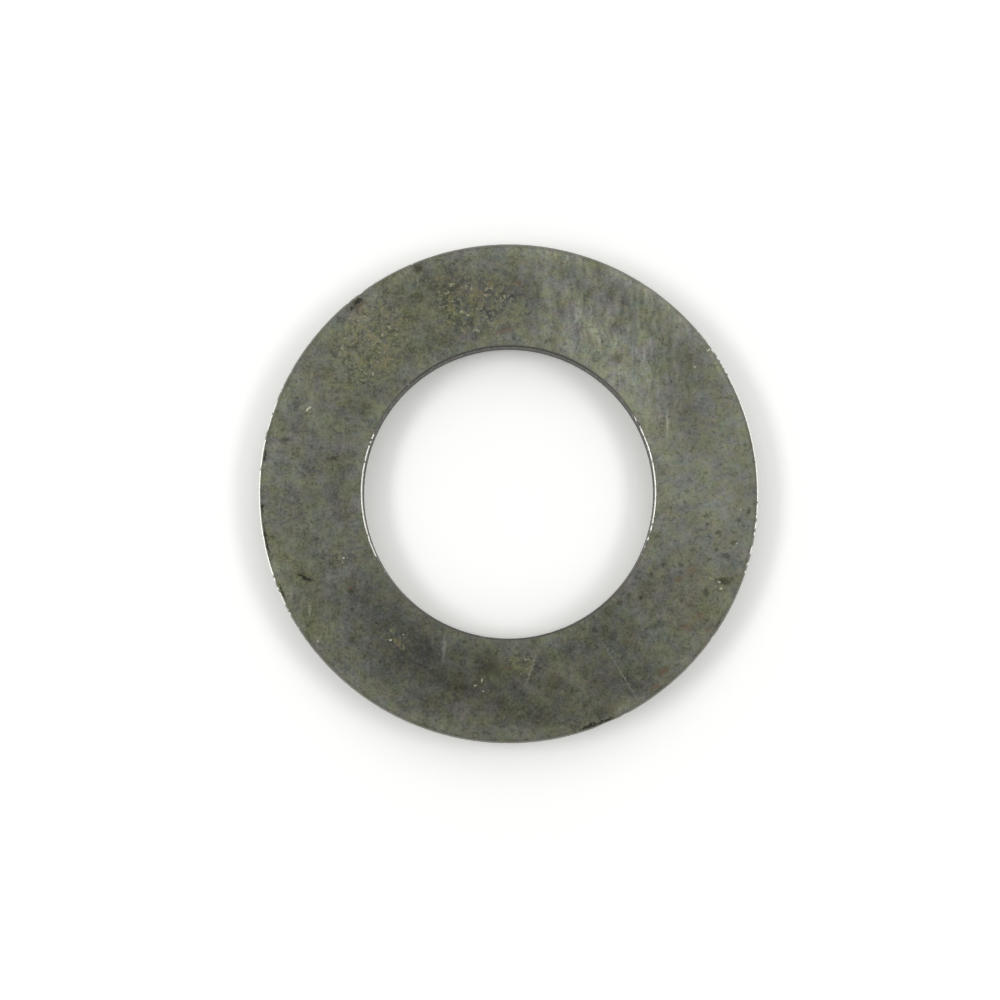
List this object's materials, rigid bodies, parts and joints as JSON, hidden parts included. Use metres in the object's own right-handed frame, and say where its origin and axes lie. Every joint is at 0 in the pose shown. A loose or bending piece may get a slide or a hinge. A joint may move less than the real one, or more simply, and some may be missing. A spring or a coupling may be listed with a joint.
{
  "type": "shim washer",
  "caption": "Flat round steel shim washer with a plain central bore and lightly tumbled edges, for taking up end play on a shaft.",
  "frame": {"origin": "on the bore's axis, in the plane of the lower face that the washer rests on", "axes": "+Z runs along the bore's axis, out of the upper face that the punch entered; X and Y are any two directions across the round ring"},
  "size_m": [0.035, 0.035, 0.0025],
  "materials": {
    "steel": "blanked, tumbled and oiled, with dull grey-green oxide and faint brown stains"
  },
  "bodies": {
    "root": {"shim_washer": "steel"}
  },
  "joints": []
}
